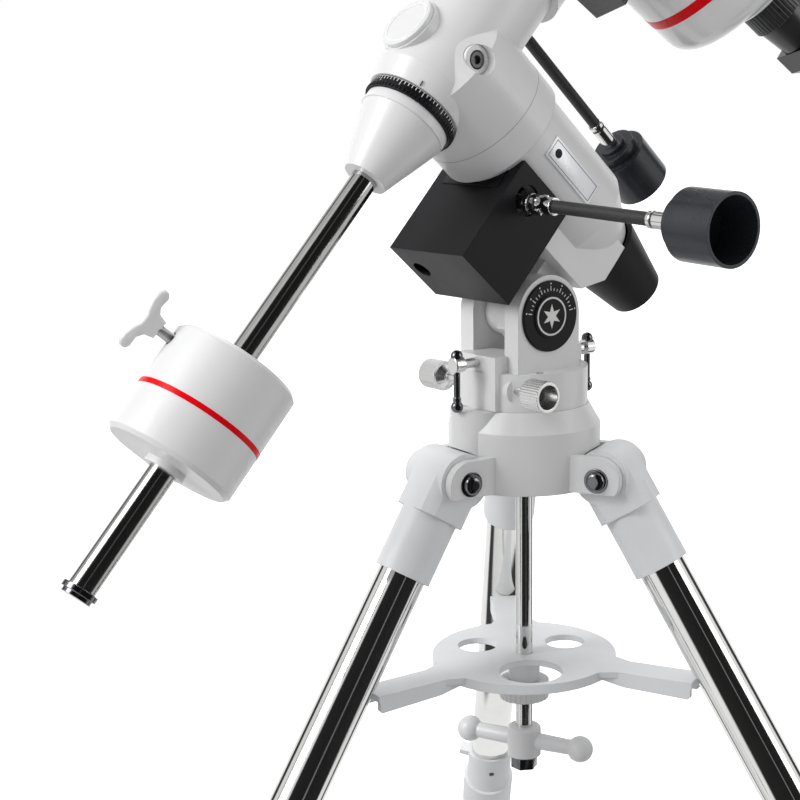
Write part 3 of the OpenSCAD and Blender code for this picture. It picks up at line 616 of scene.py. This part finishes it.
def makeTommyBars():  # ball-ended bars through the heads of the two latitude bolts
    for way in ("north", "south"):
        joint = joints[f"latitude_bolt_{way}_turn"]
        axis = Vector(joint["axis"])
        start = Vector((0, 0, joint["pos_m"][2])) + axis * tommyBar["out"]
        start.z -= tommyBar["down"]
        bm = bmesh.new()
        bmesh.ops.create_cone(bm, cap_ends=True, segments=24, radius1=tommyBar["bar"],
                              radius2=tommyBar["bar"],
                              depth=tommyBar["reach"] * 2)
        for side in (-1, 1):
            bmesh.ops.create_uvsphere(bm, u_segments=32, v_segments=20, radius=tommyBar["ball"],
                                      matrix=moved(0, 0, side * tommyBar["reach"]))
            bmesh.ops.create_cone(bm, cap_ends=True, segments=24, radius1=tommyBar["bar"] + 0.0006,
                                  radius2=tommyBar["bar"] + 0.0006, depth=0.0030,
                                  matrix=moved(0, 0, side * (tommyBar["reach"] - 0.0058)))
        finishPiece(bm, f"tommyBar{way.capitalize()}", Matrix.Translation(start), "darkChrome",
                    f"latitude_bolt_{way}")


def makeBaseDetails():  # grub screw in the top of the base, and a thin black sheet above the drive box that is painted shadow in the gap under the head
    grub = {"radius": 0.0030, "east": 0.0400, "south": -0.0190}
    top = joints["azimuth_turn"]["pos_m"][2] + 0.030
    bm = bmesh.new()
    spinProfile(bm, [(0, -0.0006), (grub["radius"], -0.0006), (grub["radius"], 0.00012),
                     (grub["radius"] * 0.55, 0.00012),
                     (grub["radius"] * 0.5, -0.0003), (0, -0.0003)], 36)
    finishPiece(bm, "baseGrubScrew", moved(grub["east"], grub["south"], top), "darkChrome", "azimuth")
    # a thin black sheet at the top of the drive box: painted shadow standing in for the dark gap between the
    # head and the drive box
    gapShadowSheet = {"wide": 0.0662, "from": -0.0503, "to": -0.0300, "along": -0.0777, "thick": 0.0007}
    bm = bmesh.new()
    addBlock(bm, (gapShadowSheet["wide"], gapShadowSheet["to"] - gapShadowSheet["from"], gapShadowSheet["thick"]),
             moved(0, (gapShadowSheet["from"] + gapShadowSheet["to"]) / 2, gapShadowSheet["along"]), 0.0001)
    finishPiece(bm, "driveBoxGapShadow", polarPlace, "satinBlack", "polar_housing")


rodNut = {"across": 0.0113, "from": 0.4948, "to": 0.5058, "washer": 0.0122, "washerThick": 0.0014,
          "tip": 0.0056}


def makeRodNut():  # dark hex nut, washer and rounded rod end under the handle
    bm = bmesh.new()
    nut = bmesh.ops.create_cone(bm, cap_ends=True, segments=6, radius1=rodNut["across"],
                                radius2=rodNut["across"],
                                depth=rodNut["to"] - rodNut["from"],
                                matrix=moved(0, 0, (rodNut["from"] + rodNut["to"]) / 2) @ turned(30, "Z"))
    bmesh.ops.bevel(bm, geom=list({e for v in nut["verts"] for e in v.link_edges}), offset=0.0005,
                    offset_type="OFFSET", affect="EDGES", segments=2, profile=0.5, material=-1)
    addBand(bm, 0.0060, rodNut["washer"], rodNut["to"] - rodNut["washerThick"], rodNut["to"] + 0.0001,
            0.0003, 48)
    spinProfile(bm, [(0, 0.4931), (rodNut["tip"] - 0.0016, 0.4931), (rodNut["tip"], 0.4942),
                     (rodNut["tip"], 0.4960),
                     (0, 0.4960)], 40)
    finishPiece(bm, "rodNut", Matrix.Identity(4), "darkChrome", "mount_rod")


makeTommyBars()
makeBaseDetails()
makeHeadScrew()
makeFrontCapInset()
makeHeadLines()
makeClampScrews()
makeHingeWashers()
makeRodThread()
makeRodNut()
print("small parts made")


# wing bolt of the weight

wing = {"thick": 0.0084, "soft": 0.0022, "stem": 0.0042, "stemTo": 0.0600,
        "half": [(0.0068, 0.0575), (0.0086, 0.0640), (0.0130, 0.0668), (0.0205, 0.0664), (0.0236, 0.0684),
                 (0.0240, 0.0722), (0.0216, 0.0748), (0.0150, 0.0752), (0.0080, 0.0736), (0.0030, 0.0714)]}


def makeWingBolt():
    place = alongJoint("wing_bolt_turn", cameraWay())
    bm = bmesh.new()
    outline = wing["half"] + [(-across, reach) for across, reach in reversed(wing["half"])]
    face = bm.faces.new([bm.verts.new((-wing["thick"] / 2, across, reach)) for across, reach in outline])
    raised = bmesh.ops.extrude_face_region(bm, geom=[face])
    lifted = [v for v in raised["geom"] if isinstance(v, bmesh.types.BMVert)]
    bmesh.ops.translate(bm, verts=lifted, vec=(wing["thick"], 0, 0))
    rims = [e for e in bm.edges if abs(e.verts[0].co.x - e.verts[1].co.x) < 1e-7]
    bmesh.ops.bevel(bm, geom=rims, offset=wing["soft"], offset_type="OFFSET", affect="EDGES", segments=4,
                    profile=0.5, material=-1)
    piece = finishPiece(bm, "wingGrip", place, "castPaint", "wing_bolt", 50)
    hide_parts("wing_bolt")
    bm = bmesh.new()  # fine threads on the stem
    outline = [(0, 0.0110), (wing["stem"], 0.0112)]
    for i in range(int((wing["stemTo"] - 0.0120) / 0.0012)):
        reach = 0.0120 + i * 0.0012
        outline += [(wing["stem"] - 0.0004, reach), (wing["stem"], reach + 0.0006)]
    outline.append((0, wing["stemTo"]))
    spinProfile(bm, outline, 32)
    finishPiece(bm, "wingStem", place, "shaftSteel", "wing_bolt", 20)


makeWingBolt()


# blank plate on the polar housing

label = {"width": 0.019, "length": 0.060, "thick": 0.0016, "face": 0.0472, "along": -0.118}


def makeBlankPlate():
    bm = bmesh.new()
    place = moved(label["face"], 0, label["along"])
    addBlock(bm, (label["thick"], label["width"], label["length"]), place, 0.0005)
    finishPiece(bm, "blankPlate", polarPlace, "plateSilver", "polar_housing")
    bm = bmesh.new()  # a plain border line and a plain ring, with no mark
    reach = label["face"] + label["thick"] / 2
    for side in (-1, 1):
        addBlock(bm, (0.0002, 0.0004, label["length"] - 0.005),
                 moved(reach, side * (label["width"] / 2 - 0.0022), label["along"]))
        addBlock(bm, (0.0002, label["width"] - 0.0044, 0.0004),
                 moved(reach, 0, label["along"] + side * (label["length"] / 2 - 0.0025)))
    ring = moved(reach, 0, label["along"] + 0.020) @ turned(90, "Y")
    bmesh.ops.create_cone(bm, cap_ends=True, segments=32, radius1=0.0036, radius2=0.0036, depth=0.0002,
                          matrix=ring)
    finishPiece(bm, "plateBorder", polarPlace, "satinBlack", "polar_housing")


makeBlankPlate()
print("plate made")


# studio

def makeCamera():
    camera = bpy.data.cameras.new("camera")
    camera.sensor_width = 36
    camera.lens = studio["lens"]
    camera.shift_x, camera.shift_y = studio["shift"]
    camera.clip_start = 0.05
    camera.clip_end = 60
    holder = bpy.data.objects.new("camera", camera)
    turn = math.radians(studio["cameraTurn"])
    holder.location = (math.sin(turn) * studio["cameraReach"], -math.cos(turn) * studio["cameraReach"],
                       studio["cameraHeight"])
    holder.rotation_euler = (math.radians(90 - studio["cameraPitch"]), 0, turn)
    bpy.context.scene.collection.objects.link(holder)
    bpy.context.scene.camera = holder


def addSoftbox(name, turn, height, reach, size, power):
    light = bpy.data.lights.new(name, "AREA")
    light.shape = "RECTANGLE"
    light.size, light.size_y = size
    light.energy = power
    holder = bpy.data.objects.new(name, light)
    angle = math.radians(studio["cameraTurn"] + turn)
    holder.location = (math.sin(angle) * reach, -math.cos(angle) * reach, height)
    aim = Vector((0, 0, studio["aim"])) - holder.location
    holder.rotation_euler = aim.to_track_quat("-Z", "Y").to_euler()
    bpy.context.scene.collection.objects.link(holder)


def makeLightWalls():  # what the gloss sees round the room: a dark side and light walls, by bearing
    tree = bpy.data.node_groups.new("lightWalls", "ShaderNodeTree")
    addSocket(tree, "Vector", "NodeSocketVector", "INPUT")
    addSocket(tree, "Color", "NodeSocketColor", "OUTPUT")
    make, link = tree.nodes.new, tree.links.new
    inputs, outputs = make("NodeGroupInput"), make("NodeGroupOutput")
    turn = make("ShaderNodeMapping")
    turn.inputs["Rotation"].default_value = (0, 0, math.radians(90 - studio["cameraTurn"]))
    bearing = make("ShaderNodeTexGradient")
    bearing.gradient_type = "RADIAL"
    walls = make("ShaderNodeValToRGB")
    stops = [(0.0, 1.0), (0.135, 1.0), (0.145, 0.05), (0.175, 0.05), (0.185, 0.75), (0.25, 0.85),
             (0.256, 0.12),
             (0.263, 0.8), (0.36, 0.95), (0.40, 0.9), (0.415, 0.02), (0.56, 0.015), (0.566, 0.3),
             (0.574, 0.015),
             (0.70, 0.02), (0.715, 0.85), (0.80, 0.9), (0.815, 0.05), (0.865, 0.05), (0.88, 1.0), (1.0, 1.0)]
    while len(walls.color_ramp.elements) < len(stops):
        walls.color_ramp.elements.new(0.5)
    for element, (spot, shade) in zip(walls.color_ramp.elements, stops):
        element.position = spot
        element.color = (shade, shade, shade, 1)
    link(inputs.outputs["Vector"], turn.inputs["Vector"])
    link(turn.outputs["Vector"], bearing.inputs["Vector"])
    link(bearing.outputs["Fac"], walls.inputs["Fac"])
    link(walls.outputs["Color"], outputs.inputs["Color"])
    return tree


lightWalls = makeLightWalls()


def makeFloor():  # pale paper, which the gloss sees as part of the light walls
    bm = bmesh.new()
    bmesh.ops.create_grid(bm, x_segments=1, y_segments=1, size=studio["floorSize"] / 2)
    mesh = bpy.data.meshes.new("floor")
    bm.to_mesh(mesh)
    bm.free()
    material = bpy.data.materials.new("floorPaper")
    material.use_nodes = True
    tree = material.node_tree
    make, link = tree.nodes.new, tree.links.new
    paper = tree.nodes["Principled BSDF"]
    paper.inputs["Base Color"].default_value = (*studio["floorShade"], 1)
    paper.inputs["Roughness"].default_value = 0.9
    paper.inputs["Specular IOR Level"].default_value = 0.1
    paper.inputs["Emission Color"].default_value = (1, 1, 1, 1)
    walls = make("ShaderNodeGroup")
    walls.node_tree = lightWalls
    coords = make("ShaderNodeTexCoord")
    reach = make("ShaderNodeVectorMath")
    reach.operation = "LENGTH"
    haze = make("ShaderNodeMapRange")  # the paper brightens away from the feet, so it has no horizon
    haze.inputs["From Min"].default_value = studio["floorNear"]
    haze.inputs["From Max"].default_value = studio["floorFar"]
    haze.inputs["To Min"].default_value = studio["floorGlow"]
    haze.inputs["To Max"].default_value = 1
    glow = make("ShaderNodeEmission")
    paths = make("ShaderNodeLightPath")
    mix = make("ShaderNodeMixShader")
    link(coords.outputs["Object"], reach.inputs[0])
    link(reach.outputs["Value"], haze.inputs["Value"])
    link(haze.outputs["Result"], paper.inputs["Emission Strength"])
    link(coords.outputs["Object"], walls.inputs["Vector"])
    link(walls.outputs["Color"], glow.inputs["Color"])
    link(paths.outputs["Is Glossy Ray"], mix.inputs["Fac"])
    bounce = make("ShaderNodeBsdfDiffuse")  # a duller bounce keeps the undersides in shade
    bounce.inputs["Color"].default_value = (*studio["floorBounce"], 1)
    bounceMix = make("ShaderNodeMixShader")
    link(paths.outputs["Is Diffuse Ray"], bounceMix.inputs["Fac"])
    link(paper.outputs["BSDF"], bounceMix.inputs[1])
    link(bounce.outputs["BSDF"], bounceMix.inputs[2])
    link(bounceMix.outputs["Shader"], mix.inputs[1])
    link(glow.outputs["Emission"], mix.inputs[2])
    link(mix.outputs["Shader"], tree.nodes["Material Output"].inputs["Surface"])
    mesh.materials.append(material)
    floor = bpy.data.objects.new("floor", mesh)
    bpy.context.scene.collection.objects.link(floor)


def makeWorld():  # white backdrop, soft fill that is brighter overhead, and the light walls for the gloss
    world = bpy.data.worlds.new("studio")
    world.use_nodes = True
    tree = world.node_tree
    tree.nodes.clear()
    make, link = tree.nodes.new, tree.links.new
    coords = make("ShaderNodeTexCoord")
    height = make("ShaderNodeSeparateXYZ")
    sky = make("ShaderNodeMapRange")
    sky.inputs["From Min"].default_value = 0
    sky.inputs["From Max"].default_value = 1
    sky.inputs["To Min"].default_value = studio["fillLow"]
    sky.inputs["To Max"].default_value = studio["fillHigh"]
    walls = make("ShaderNodeGroup")
    walls.node_tree = lightWalls
    paths = make("ShaderNodeLightPath")
    fill, gloss, backdrop = (make("ShaderNodeBackground") for _ in range(3))
    for background in (fill, backdrop):
        background.inputs["Color"].default_value = (1, 1, 1, 1)
    glossMix, backdropMix = make("ShaderNodeMixShader"), make("ShaderNodeMixShader")
    output = make("ShaderNodeOutputWorld")
    link(coords.outputs["Generated"], height.inputs["Vector"])
    link(height.outputs["Z"], sky.inputs["Value"])
    link(sky.outputs["Result"], fill.inputs["Strength"])
    link(coords.outputs["Generated"], walls.inputs["Vector"])
    link(walls.outputs["Color"], gloss.inputs["Color"])
    link(paths.outputs["Is Glossy Ray"], glossMix.inputs["Fac"])
    link(fill.outputs["Background"], glossMix.inputs[1])
    link(gloss.outputs["Background"], glossMix.inputs[2])
    link(paths.outputs["Is Camera Ray"], backdropMix.inputs["Fac"])
    link(glossMix.outputs["Shader"], backdropMix.inputs[1])
    link(backdrop.outputs["Background"], backdropMix.inputs[2])
    link(backdropMix.outputs["Shader"], output.inputs["Surface"])
    bpy.context.scene.world = world


makeFloor()
makeCamera()
addSoftbox("softboxLeft", -62, 2.0, 2.2, (1.2, 1.6), 44)
addSoftbox("softboxRight", 75, 1.6, 2.4, (1.0, 1.6), 12)
addSoftbox("softboxTop", 170, 3.0, 1.2, (2.0, 2.0), 22)
makeWorld()
bpy.context.scene.view_settings.view_transform = "Standard"
print("studio made")
